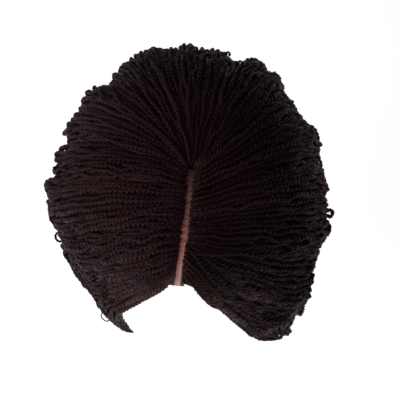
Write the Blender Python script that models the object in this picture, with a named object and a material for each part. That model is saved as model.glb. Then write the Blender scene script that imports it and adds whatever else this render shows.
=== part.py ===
"""A short bob wig of thin two-strand twists, parted in the middle, held as it is worn.

The origin is the inside of the cap at the crown. The front is -Y, and +Z is up. The twists leave the part
on both sides, run over the cap, bulge to their widest at ear level and curl under at the jaw. Each group of
them is one thick soft wall: its outside is rows of fused locks, its inside follows the cap and then hangs
free round the neck.
"""

import math
import random

import bpy
import numpy as np

MM = 0.001

# Cap: the inside fits an average adult head of 560 mm round
CAP_HALF_WIDTH = 75 * MM
CAP_HALF_DEPTH = 97 * MM
CAP_HALF_HEIGHT = 95 * MM
CAP_WALL = 1.5 * MM
CAP_COLUMNS = 40
CAP_ROWS = 7

# How low the cap's edge comes, in mm below the crown, at each angle in degrees from the front
CAP_EDGE = (
    # angle, edge height
    (0, -52.5),  # hairline at the part
    (30, -66),  # brow
    (55, -90),  # temple
    (80, -116),  # tab before the ear
    (100, -104),  # over the ear
    (140, -138),  # behind the ear
    (180, -150),  # nape
)

# Lace strip along the part
LACE_HALF_WIDTH = 3.6 * MM
LACE_END_HALF_WIDTH = 2.6 * MM
LACE_THICKNESS = 0.8 * MM
LACE_GAP = 0.35 * MM
LACE_FRONT_Y = -86.2 * MM
LACE_BACK_Y = 0.5 * MM
LACE_ROWS = 12
LACE_NARROWS_FROM = 0.85  # share of its length, from the front

# Braids: how they lie between the part, their widest ring and their tips
FRONT_RISE = 4.5 * MM  # thickness of the braids over the cap where they leave the part, at the hairline
CROWN_RISE = 7.5 * MM  # the same from two stations in
EDGE_STATIONS = 2.0
INNER_CLEARANCE = 1.8 * MM  # between the cap and the inside of the braids, enough for their flat facets
TIP_THICKNESS = 19 * MM
TIP_TURN = math.radians(58)  # how much of an arc the braids turn below the widest ring
TIP_RISE = 5 * MM  # the inner braids end this much higher than the outer ones
AXIS_Y = 30 * MM  # at the tips the wall of braids is measured towards this depth
AXIS_SHARE = 0.6  # and towards this share of the tip's own distance to the side
EDGE_HANG = 0.8  # how far the inside follows the outside below the cap's widest line, at the hairline
SIDE_HANG = 0.45  # the same from two stations in

LOCK_COUNT = 72
LOCK_DEPTH = 2.6 * MM
LOCK_POINT = 7 * MM  # a lock's tip hangs this much lower than the notch beside it
LOCK_COLUMNS = 3
REACH_SPREAD = 2.2 * MM
LENGTH_SPREAD = 6 * MM
WIDTH_SPREAD = 0.16
GROUP_GAP = 0.22 * MM  # each group's side walls stand back this far from the line between two groups
NOTCH_GROWN_AT = 0.5  # along the braid, the notches between the locks have their full depth from here on
REACH_FROM = 0.3  # along the braid, the locks begin to lie higher or lower than each other here
RING_SAMPLES = 600
SLOPE_STEP = 1e-3  # step in stations, or along the braid, that gives a slope
SHARP_ANGLE = math.radians(50)
SEED = 7

DOME_STEPS = (0.0, 0.1, 0.24, 0.38, 0.53, 0.69, 0.85, 1.0)
DROP_STEPS = (1.25, 1.5, 1.75, 2.0)
INNER_CAP_STEPS = (0.0, 0.22, 0.42, 0.62, 0.81, 1.0)
INNER_DROP_STEPS = (0.33, 0.67, 1.0)

# One row for each braid that leads the shape, from the left of the hairline round the back to the right.
# Lengths are in mm. spread and drop are the powers of its arc: 1 is a quarter of an ellipse, near 2 is a
# straight slope.
STATIONS = (
    # root x, root y, wide x, wide y, wide z, tip x, tip y, tip z, spread, drop
    (-4, -85.5, -58, -99, -118, -42, -93, -209, 2.3, 1.75),  # left hairline
    (-4, -80, -82, -84, -123, -70, -84, -212, 1.7, 1.5),  # left brow
    (-4, -69, -104, -50, -122, -94, -54, -210, 1.25, 1.2),  # left temple
    (-4, -46, -128, -15, -122, -114, -17, -208, 1.06, 1.06),  # left ear
    (-4, -22, -138, 22, -122, -123, 20, -208, 1.06, 1.06),  # left side
    (-5, -3, -126, 79, -118, -111, 73, -208, 1.06, 1.06),  # behind the left ear
    (-3, 4, -88, 137, -110, -79, 125, -208, 1.06, 1.06),  # left of the back
    (0, 6, -16, 172, -104, -14, 157, -208, 1.06, 1.06),  # middle of the back
    (3, 4, 64, 153, -110, 58, 140, -208, 1.06, 1.06),  # right of the back
    (5, -3, 116, 99, -118, 104, 90, -208, 1.06, 1.06),  # behind the right ear
    (4, -22, 134, 41, -122, 120, 37, -208, 1.06, 1.06),  # right side
    (4, -46, 133, -10, -124, 121, -12, -208, 1.1, 1.1),  # right ear
    (4, -69, 124, -48, -130, 121, -52, -208, 1.3, 1.25),  # right temple
    (4, -80, 108, -78, -147, 115, -78, -207, 1.8, 1.5),  # right brow
    (4, -85.5, 70, -100, -150, 99, -87, -203, 2.3, 1.75),  # right hairline
)
LAST_STATION = len(STATIONS) - 1

# Groups of braids, by the stations that they lie between
GROUPS = (
    # name, first station, last station
    ("braids_front_left", 0.0, 2.6),
    ("braids_side_left", 2.6, 4.6),
    ("braids_back_left", 4.6, 6.3),
    ("braids_back", 6.3, 7.8),
    ("braids_back_right", 7.8, 9.3),
    ("braids_side_right", 9.3, 11.3),
    ("braids_front_right", 11.3, 14.0),
)

BRAID_COLOUR = (0.018, 0.012, 0.012, 1.0)
CAP_COLOUR = (0.022, 0.018, 0.018, 1.0)
LACE_COLOUR = (0.36, 0.19, 0.15, 1.0)


def smooth_step(value):
    """0 below 0, 1 above 1, and a soft curve between."""
    value = min(max(value, 0.0), 1.0)
    return value * value * (3 - 2 * value)


def station_at(t):
    """The row at station t, on a smooth curve through the rows of STATIONS."""
    rows = np.array(STATIONS, float)
    t = min(max(t, 0.0), LAST_STATION - 1e-9)
    i = int(t)
    before = rows[i - 1] if i > 0 else 2 * rows[0] - rows[1]
    after = rows[i + 2] if i + 2 <= LAST_STATION else 2 * rows[LAST_STATION] - rows[LAST_STATION - 1]
    a, b, c, d = before, rows[i], rows[i + 1], after
    f = t - i
    row = 0.5 * (
        2 * b + (c - a) * f + (2 * a - 5 * b + 4 * c - d) * f**2 + (3 * b - a - 3 * c + d) * f**3
    )
    return row * np.array([MM] * 8 + [1.0] * 2)


def cap_height(x, y, off):
    """Height of the cap's form, grown by off, over the point x, y."""
    left = 1 - (x / (CAP_HALF_WIDTH + off)) ** 2 - (y / (CAP_HALF_DEPTH + off)) ** 2
    return -CAP_HALF_HEIGHT + (CAP_HALF_HEIGHT + off) * math.sqrt(max(left, 0.0))


def blend_inwards(t, at_edge, inside):
    """A value that changes from the hairline to two stations in, on either side."""
    return at_edge + (inside - at_edge) * min(min(t, LAST_STATION - t) / EDGE_STATIONS, 1.0)


def kept_off_cap(point, off):
    """The point, moved out where it lies nearer to the cap's form than off."""
    axes = np.array([CAP_HALF_WIDTH, CAP_HALF_DEPTH, CAP_HALF_HEIGHT]) + off
    from_middle = point + np.array([0.0, 0.0, CAP_HALF_HEIGHT])
    size = np.linalg.norm(from_middle / axes)
    if size >= 1 or from_middle[2] < 0:
        return point
    return point + from_middle * (1 / size - 1)


def outer_point(t, u):
    """A point of the smooth outer form: u is 0 at the part, 1 at the widest ring and 2 at the tips."""
    root_x, root_y, wide_x, wide_y, wide_z, tip_x, tip_y, tip_z, spread, drop = station_at(t)
    if u <= 1:
        angle = u * math.pi / 2
        out = math.sin(angle) ** spread
        down = 1 - max(math.cos(angle), 0.0) ** drop
        off = CAP_WALL + INNER_CLEARANCE + blend_inwards(t, FRONT_RISE, CROWN_RISE)
        root_z = cap_height(root_x, root_y, off)
        point = np.array(
            [
                root_x + (wide_x - root_x) * out,
                root_y + (wide_y - root_y) * out,
                root_z + (wide_z - root_z) * down,
            ]
        )
        return kept_off_cap(point, off)
    angle = (u - 1) * TIP_TURN
    back = (1 - math.cos(angle)) / (1 - math.cos(TIP_TURN))
    return np.array(
        [
            wide_x + (tip_x - wide_x) * back,
            wide_y + (tip_y - wide_y) * back,
            wide_z + (tip_z - wide_z) * math.sin(angle) / math.sin(TIP_TURN),
        ]
    )


def outer_normal(t, u):
    """Which way the outer form faces at t, u."""
    low, high = max(u - SLOPE_STEP, 0.0), min(u + SLOPE_STEP, 2.0)
    first, last = max(t - SLOPE_STEP, 0.0), min(t + SLOPE_STEP, LAST_STATION)
    along = outer_point(t, high) - outer_point(t, low)
    across = outer_point(last, u) - outer_point(first, u)
    normal = np.cross(across, along)
    return normal / max(np.linalg.norm(normal), 1e-12)


def inner_line(t, shorter):
    """The inside of the braids at station t, from the part over the cap down to tips this much shorter."""
    root_x, root_y, wide_x, wide_y, wide_z, tip_x, tip_y, tip_z, _, _ = station_at(t)
    off = CAP_WALL + INNER_CLEARANCE
    a, b = CAP_HALF_WIDTH + off, CAP_HALF_DEPTH + off
    run_x, run_y = wide_x - root_x, wide_y - root_y
    # Where the straight run from the root leaves the cap's widest outline
    square = (run_x / a) ** 2 + (run_y / b) ** 2
    half = root_x * run_x / a**2 + root_y * run_y / b**2
    rest = (root_x / a) ** 2 + (root_y / b) ** 2 - 1
    leave = (-half + math.sqrt(half**2 - square * rest)) / square
    points = []
    for step in INNER_CAP_STEPS:
        out = leave * math.sin(step * math.pi / 2)
        x, y = root_x + run_x * out, root_y + run_y * out
        points.append(np.array([x, y, cap_height(x, y, off)]))
    inwards = np.array([(AXIS_SHARE - 1) * tip_x, AXIS_Y - tip_y])
    inwards = inwards / np.linalg.norm(inwards) * TIP_THICKNESS
    end = np.array([tip_x + inwards[0], tip_y + inwards[1], tip_z + TIP_RISE + shorter])
    start = points[-1]
    hang = blend_inwards(t, EDGE_HANG, SIDE_HANG)
    bulge = start + (np.array([wide_x, wide_y, wide_z]) - start) * hang
    for step in INNER_DROP_STEPS:
        left = 1 - step
        points.append(start * left**2 + bulge * 2 * left * step + end * step**2)
    return points


def ring_lengths(samples):
    """Stations and the length run along the widest ring up to each of them."""
    stations = np.linspace(0, LAST_STATION, samples)
    ring = np.array([outer_point(t, 1.0) for t in stations])
    steps = np.linalg.norm(np.diff(ring, axis=0), axis=1)
    return stations, np.concatenate([[0.0], np.cumsum(steps)])


class Locks:
    """Where the notches between the locks are, and how far each lock reaches and hangs."""

    def __init__(self):
        rng = random.Random(SEED)
        stations, lengths = ring_lengths(RING_SAMPLES)
        self.lines = {}
        for name, first, last in GROUPS:
            low, high = np.interp([first, last], stations, lengths)
            count = max(round(LOCK_COUNT * (high - low) / lengths[-1]), 2)
            widths = [1 + rng.uniform(-WIDTH_SPREAD, WIDTH_SPREAD) for _ in range(count)]
            edges = low + (high - low) * np.concatenate([[0.0], np.cumsum(widths)]) / sum(widths)
            locks = [
                (rng.uniform(-1, 1) * REACH_SPREAD, rng.uniform(-1, 1) * LENGTH_SPREAD) for _ in range(count)
            ]
            self.lines[name] = self.columns(edges, locks, stations, lengths)
        self.lines[GROUPS[0][0]][0] = (0.0, 1.0, 0.0, 0.0)
        self.lines[GROUPS[-1][0]][-1] = (float(LAST_STATION), 1.0, 0.0, 0.0)

    @staticmethod
    def columns(edges, locks, stations, lengths):
        """Columns of a group: station, 0 in a notch or 1 on a lock, reach and extra length."""
        found = []
        plain = (0.0, 0.0)  # the notch that two groups share
        for number, lock in enumerate(locks):
            start, end = edges[number], edges[number + 1]
            beside = locks[number - 1] if number else tuple(-value for value in lock)
            notch = tuple((one + other) / 2 for one, other in zip(beside, lock))
            for part in range(LOCK_COLUMNS):
                at = start + (end - start) * part / LOCK_COLUMNS
                crest, (reach, longer) = (1.0, lock) if part else (0.0, notch)
                found.append((float(np.interp(at, lengths, stations)), crest, reach, longer))
        found.append((float(np.interp(edges[-1], lengths, stations)), 0.0, *plain))
        return found


def column_points(t, crest, reach, longer):
    """Outer points from the part to the tip, and inner points from the part to the tip, of one column."""
    outer = []
    for u in DOME_STEPS + DROP_STEPS:
        grown = smooth_step(u / NOTCH_GROWN_AT)
        lift = smooth_step((u - REACH_FROM) / (1 - REACH_FROM))
        off = (crest - 1) * LOCK_DEPTH * grown + reach * lift
        point = outer_point(t, u) + outer_normal(t, u) * off
        hang = smooth_step(u - 1)
        point[2] -= (longer + (crest - 0.5) * LOCK_POINT) * hang
        outer.append(point)
    inner = inner_line(t, -longer)
    return outer, inner


def shifted(points, beside, distance):
    """Each point moved towards its neighbour in the next column."""
    moved = []
    for here, there in zip(points, beside):
        way = there - here
        moved.append(here + way / np.linalg.norm(way) * distance)
    return moved


def group_columns(lines):
    """All columns of a group, its two outermost set back from the neighbouring groups."""
    made = [column_points(*line) for line in lines]
    for end, step in ((0, SLOPE_STEP), (-1, -SLOPE_STEP)):
        t, crest, reach, longer = lines[end]
        beside = column_points(t + step, crest, reach, longer)
        made[end] = tuple(shifted(own, other, GROUP_GAP) for own, other in zip(made[end], beside))
    return made


def ladder(outer, inner):
    """Triangles between two runs of points that start and end side by side."""
    faces = []
    i = k = 0
    while i < len(outer) - 1 or k < len(inner) - 1:
        next_outer = (i + 1) / (len(outer) - 1) if i < len(outer) - 1 else 2.0
        next_inner = (k + 1) / (len(inner) - 1) if k < len(inner) - 1 else 2.0
        if next_outer <= next_inner:
            faces.append((outer[i], outer[i + 1], inner[k]))
            i += 1
        else:
            faces.append((outer[i], inner[k + 1], inner[k]))
            k += 1
    return faces


def add_object(name, points, faces, material, smooth=True):
    """An object of its own from points in metres."""
    mesh = bpy.data.meshes.new(name)
    mesh.from_pydata([tuple(point) for point in points], [], faces)
    mesh.materials.append(material)
    if smooth:
        mesh.shade_smooth()
        mesh.set_sharp_from_angle(angle=SHARP_ANGLE)
    made = bpy.data.objects.new(name, mesh)
    bpy.context.collection.objects.link(made)
    return made


def add_braid_group(name, lines, material):
    """The wall of locks between two stations."""
    columns = group_columns(lines)
    rows = len(columns[0][0])
    around = rows + len(columns[0][1])
    points = []
    for outer, inner in columns:
        points += outer + inner[::-1]
    faces = []
    for c in range(len(columns) - 1):
        here, there = c * around, (c + 1) * around
        for r in range(around):
            after = (r + 1) % around
            faces.append((here + r, there + r, there + after, here + after))
    for c, flip in ((0, False), (len(columns) - 1, True)):
        outer = [c * around + r for r in range(rows)]
        inner = [c * around + around - 1 - k for k in range(around - rows)]
        for face in ladder(outer, inner):
            faces.append(face[::-1] if flip else face)
    return add_object(name, points, faces, material)


def cap_edge_height(angle):
    """Height of the cap's edge at an angle from the front, in degrees, the same on both sides."""
    angles, heights = zip(*CAP_EDGE)
    side = abs((angle + 180) % 360 - 180)
    i = max(k for k in range(len(angles) - 1) if angles[k] <= side)
    part = smooth_step((side - angles[i]) / (angles[i + 1] - angles[i]))
    return (heights[i] + (heights[i + 1] - heights[i]) * part) * MM


def add_cap(material):
    """The net cap: an open shell of even thickness, cut along the hairline, the ears and the nape."""
    points = []
    for off in (CAP_WALL, 0.0):
        points.append((0.0, 0.0, off))
        for row in range(1, CAP_ROWS + 1):
            for column in range(CAP_COLUMNS):
                angle = 360 * column / CAP_COLUMNS
                edge = math.acos((cap_edge_height(angle) + CAP_HALF_HEIGHT) / CAP_HALF_HEIGHT)
                down = edge * row / CAP_ROWS
                way = math.radians(angle)
                points.append(
                    (
                        (CAP_HALF_WIDTH + off) * math.sin(down) * math.sin(way),
                        -(CAP_HALF_DEPTH + off) * math.sin(down) * math.cos(way),
                        -CAP_HALF_HEIGHT + (CAP_HALF_HEIGHT + off) * math.cos(down),
                    )
                )
    shell = 1 + CAP_ROWS * CAP_COLUMNS
    faces = []
    for start, flip in ((0, False), (shell, True)):
        for column in range(CAP_COLUMNS):
            after = (column + 1) % CAP_COLUMNS
            found = [(start, start + 1 + column, start + 1 + after)]
            for row in range(CAP_ROWS - 1):
                here = start + 1 + row * CAP_COLUMNS
                below = here + CAP_COLUMNS
                found.append((here + column, below + column, below + after, here + after))
            faces += [face[::-1] if flip else face for face in found]
    rim = 1 + (CAP_ROWS - 1) * CAP_COLUMNS
    for column in range(CAP_COLUMNS):
        after = (column + 1) % CAP_COLUMNS
        faces.append((rim + column, shell + rim + column, shell + rim + after, rim + after))
    return add_object("cap", points, faces, material)


def add_parting_lace(material):
    """The lace strip that shows between the two sides of the part."""
    low = CAP_WALL + LACE_GAP
    points, faces = [], []
    for row in range(LACE_ROWS + 1):
        along = row / LACE_ROWS
        y = LACE_FRONT_Y + (LACE_BACK_Y - LACE_FRONT_Y) * along
        narrow = smooth_step((along - LACE_NARROWS_FROM) / (1 - LACE_NARROWS_FROM))
        half = LACE_HALF_WIDTH + (LACE_END_HALF_WIDTH - LACE_HALF_WIDTH) * narrow
        high = low + LACE_THICKNESS
        for x, off in ((-half, low), (half, low), (half, high), (-half, high)):
            points.append((x, y, cap_height(x, y, off)))
    for row in range(LACE_ROWS):
        here, there = row * 4, row * 4 + 4
        for side in range(4):
            after = (side + 1) % 4
            faces.append((here + side, there + side, there + after, here + after))
    faces.append((0, 1, 2, 3))
    end = LACE_ROWS * 4
    faces.append((end + 3, end + 2, end + 1, end))
    return add_object("parting_lace", points, faces, material, smooth=False)


def add_material(name, colour, roughness):
    """A plain Principled material."""
    material = bpy.data.materials.new(name)
    material.use_nodes = True
    shader = material.node_tree.nodes["Principled BSDF"]
    shader.inputs["Base Color"].default_value = colour
    shader.inputs["Roughness"].default_value = roughness
    shader.inputs["Metallic"].default_value = 0.0
    return material


def main():
    for old in list(bpy.data.objects):
        bpy.data.objects.remove(old, do_unlink=True)
    add_cap(add_material("cap_net", CAP_COLOUR, 0.8))
    add_parting_lace(add_material("lace", LACE_COLOUR, 0.6))
    braid = add_material("braid_fibre", BRAID_COLOUR, 0.45)
    for name, lines in Locks().lines.items():
        add_braid_group(name, lines, braid)


main()
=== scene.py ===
"""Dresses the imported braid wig: each twist as a two-strand rope, the net cap and the lace of the part.

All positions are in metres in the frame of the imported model: the crown is the origin, the face side is -Y
and +Z is up. A twist is placed by its station, which counts the rows of STATIONS from the left of the
hairline round the back to the right of it, and by how far it has run: 0 at the part, 1 at the widest ring
and 2 at the tips.
"""

import logging
import math
from dataclasses import dataclass
from enum import Enum

import bpy
import numpy as np
from mathutils import Matrix, Vector


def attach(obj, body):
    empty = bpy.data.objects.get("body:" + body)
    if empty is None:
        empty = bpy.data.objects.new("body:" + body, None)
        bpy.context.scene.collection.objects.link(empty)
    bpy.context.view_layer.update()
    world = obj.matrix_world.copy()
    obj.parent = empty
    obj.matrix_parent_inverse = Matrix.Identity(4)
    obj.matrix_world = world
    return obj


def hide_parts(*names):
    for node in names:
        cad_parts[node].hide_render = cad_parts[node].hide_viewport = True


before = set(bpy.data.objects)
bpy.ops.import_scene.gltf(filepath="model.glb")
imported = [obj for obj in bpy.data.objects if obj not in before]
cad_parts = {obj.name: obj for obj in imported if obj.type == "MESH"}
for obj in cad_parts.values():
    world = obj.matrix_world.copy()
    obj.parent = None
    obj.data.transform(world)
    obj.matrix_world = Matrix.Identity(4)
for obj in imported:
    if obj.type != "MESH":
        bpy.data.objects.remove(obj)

LOG = logging.getLogger("braid_wig")
MM = 0.001
FULL_TURN = 2 * math.pi
BODY = "root"
SEED = 20
SMOOTH_BELOW = math.radians(50)

# How far the part leans to the left at its front end, where the lean starts and over what length it grows
PART_BEND = 2.2 * MM
PART_BEND_FROM = 52 * MM
PART_BEND_OVER = 34 * MM

Colour = tuple[float, float, float]
Wound = tuple[np.ndarray, np.ndarray, np.ndarray, np.ndarray]

# The braids that lead the shape, from the left of the hairline round the back to the right of it, in mm
STATIONS = (
    # root x, root y, wide x, wide y, wide z, tip x, tip y, tip z, spread, drop
    (-4, -85.5, -58, -99, -118, -42, -93, -209, 2.3, 1.75),  # left hairline
    (-4, -80, -82, -84, -123, -70, -84, -212, 1.7, 1.5),  # left brow
    (-4, -69, -104, -50, -122, -94, -54, -210, 1.25, 1.2),  # left temple
    (-4, -46, -128, -15, -122, -114, -17, -208, 1.06, 1.06),  # left ear
    (-4, -22, -138, 22, -122, -123, 20, -208, 1.06, 1.06),  # left side
    (-5, -3, -126, 79, -118, -111, 73, -208, 1.06, 1.06),  # behind the left ear
    (-3, 4, -88, 137, -110, -79, 125, -208, 1.06, 1.06),  # left of the back
    (0, 6, -16, 172, -104, -14, 157, -208, 1.06, 1.06),  # middle of the back
    (3, 4, 64, 153, -110, 58, 140, -208, 1.06, 1.06),  # right of the back
    (5, -3, 116, 99, -118, 104, 90, -208, 1.06, 1.06),  # behind the right ear
    (4, -22, 134, 41, -122, 120, 37, -208, 1.06, 1.06),  # right side
    (4, -46, 133, -10, -124, 121, -12, -208, 1.1, 1.1),  # right ear
    (4, -69, 124, -48, -130, 121, -52, -208, 1.3, 1.25),  # right temple
    (4, -80, 108, -78, -147, 115, -78, -207, 1.8, 1.5),  # right brow
    (4, -85.5, 70, -100, -150, 99, -87, -203, 2.3, 1.75),  # right hairline
)
LAST_STATION = len(STATIONS) - 1

# Painted light and shade: where the fibre's colour is made lighter or darker to stand in for how the light
# falls over the wig
PAINTED_LIGHT_AND_SHADE = (
    # x, y, z of the middle in mm, reach in mm, change of tone
    (80, 55, -30, 45, -0.6),  # right of the crown
    (60, 115, -50, 40, -0.3),
    (85, 0, -40, 35, -0.4),
    (70, -60, -60, 40, -0.4),
    (105, -35, -95, 45, -0.6),  # over the right ear
    (-10, 115, -45, 50, -0.65),  # top
    (10, 30, -5, 28, 0.1),  # right of the part
    (115, -75, -190, 40, 0.5),  # right tips
    (128, 20, -110, 30, -0.1),
)

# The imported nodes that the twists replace, by the stations that they lie between
GROUPS = (
    # name, first station, last station
    ("front_left", 0.0, 2.6),
    ("side_left", 2.6, 4.6),
    ("back_left", 4.6, 6.3),
    ("back", 6.3, 7.8),
    ("back_right", 7.8, 9.3),
    ("side_right", 9.3, 11.3),
    ("front_right", 11.3, 14.0),
)

# How low the cap's edge comes, in mm below the crown, at each angle in degrees from the front
CAP_EDGE = (
    # angle, edge height
    (0, -52.5),  # hairline at the part
    (30, -66),  # brow
    (55, -90),  # temple
    (80, -116),  # tab before the ear
    (100, -104),  # over the ear
    (140, -138),  # behind the ear
    (180, -150),  # nape
)

# How the twists are combed: each one's root lies this many stations further on than its widest place, and its
# middle bows out by the second number of stations
COMBING = (
    # station, root, bow
    (0.0, 0.0, 0.0),  # left hairline
    (0.5, 0.3, -0.15),
    (1.0, 0.35, -0.3),
    (2.0, 0.35, -0.4),
    (3.0, 0.35, -0.45),  # left ear
    (4.0, 0.35, -0.4),
    (5.0, 0.3, -0.25),
    (6.0, 0.0, -0.1),
    (7.0, 0.0, 0.0),  # middle of the back
    (8.0, 0.1, -0.1),
    (9.0, 0.55, -0.05),
    (10.0, 0.75, 0.15),
    (11.0, 0.7, 0.5),  # right ear
    (12.0, -0.2, 0.8),
    (13.0, -1.15, 0.8),
    (13.5, -0.85, 0.4),
    (14.0, 0.0, 0.0),  # right hairline
)

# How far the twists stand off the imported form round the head, which gives the lumps of the outline
SWELLS = (
    # station, reach in mm
    (0.0, 2.0), (0.5, 2.0), (0.8, -0.5), (1.1, -1.5), (1.4, -5.5), (1.65, -3.0), (2.05, 2.5), (2.35, 4.5),
    (2.65, 0.5), (2.8, -1.5), (3.0, 0.0), (3.3, 2.0), (3.55, 0.5), (3.75, -1.5), (3.95, 3.8), (4.15, -9.0),
    (4.4, -3.0), (4.6, 1.0), (4.8, -12.0), (4.95, 0.0), (5.2, -1.0), (5.4, -1.5), (5.55, 3.5), (5.7, -0.5),
    (5.9, -8.5), (6.05, 0.0), (6.25, 0.0), (6.4, 3.5), (6.5, 4.0), (6.7, -1.5), (6.85, -4.5), (7.0, -0.5),
    (7.12, -5.5), (7.25, -3.5), (7.45, -3.0), (7.57, -7.0), (7.7, -7.0), (7.9, 5.5), (8.05, 0.5), (8.2, 4.0),
    (8.35, -4.0), (8.5, -3.5), (8.7, -5.5), (8.9, -2.5), (9.08, 0.5), (9.2, 0.0), (9.4, -6.0), (9.57, -6.0),
    (9.9, -1.5), (10.1, -2.0), (10.3, -1.5), (10.5, 0.5), (10.75, 0.5), (11.0, -4.0), (11.3, -3.5),
    (11.6, -3.5), (11.95, 2.0), (12.25, 6.5), (12.35, 1.0), (12.55, -3.5), (13.2, 0.5), (13.7, 3.5),
    (14.0, 2.0),
)


def smooth_step(value: np.ndarray) -> np.ndarray:
    """Softens a ramp: 0 below 0, 1 above 1, and a soft curve between."""
    value = np.clip(value, 0.0, 1.0)
    return value * value * (3 - 2 * value)


def eased(value: float) -> float:
    """Softens one number as smooth_step does."""
    return float(smooth_step(np.array(value)))


def unit(vectors: np.ndarray) -> np.ndarray:
    """Scales vectors, which lie in the last axis, to length 1."""
    return vectors / np.maximum(np.linalg.norm(vectors, axis=-1, keepdims=True), 1e-12)


def lengths_along(points: np.ndarray) -> np.ndarray:
    """Measures the length run from a line's first point up to each of its points."""
    steps = np.linalg.norm(np.diff(points, axis=0), axis=1)
    return np.concatenate([[0.0], np.cumsum(steps)])


def cap_edge_height(angle: float) -> float:
    """Finds the cap's edge.

    Args:
        angle: Degrees from the front, the same on both sides.

    Returns:
        Height of the edge in metres.
    """
    angles, heights = zip(*CAP_EDGE)
    side = abs((angle + 180) % 360 - 180)
    i = max(k for k in range(len(angles) - 1) if angles[k] <= side)
    part = eased((side - angles[i]) / (angles[i + 1] - angles[i]))
    return (heights[i] + (heights[i + 1] - heights[i]) * part) * MM


def part_bend(y: float) -> float:
    """Finds the part's shift in X at a place along it."""
    return -PART_BEND * eased((-y - PART_BEND_FROM) / PART_BEND_OVER)


def combed(station: float, u: np.ndarray) -> np.ndarray:
    """Finds the stations that a twist runs over.

    Args:
        station: Where it lies at the widest ring.
        u: How far along it, 0 to 2.

    Returns:
        The station at each place.
    """
    stations, roots, bows = zip(*COMBING)
    before = np.clip(1 - u, 0.0, 1.0)
    root = np.interp(station, stations, roots)
    bow = np.interp(station, stations, bows)
    return np.clip(station + root * before**1.5 + bow * 4 * (1 - before) * before, 0.0, LAST_STATION)


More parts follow.
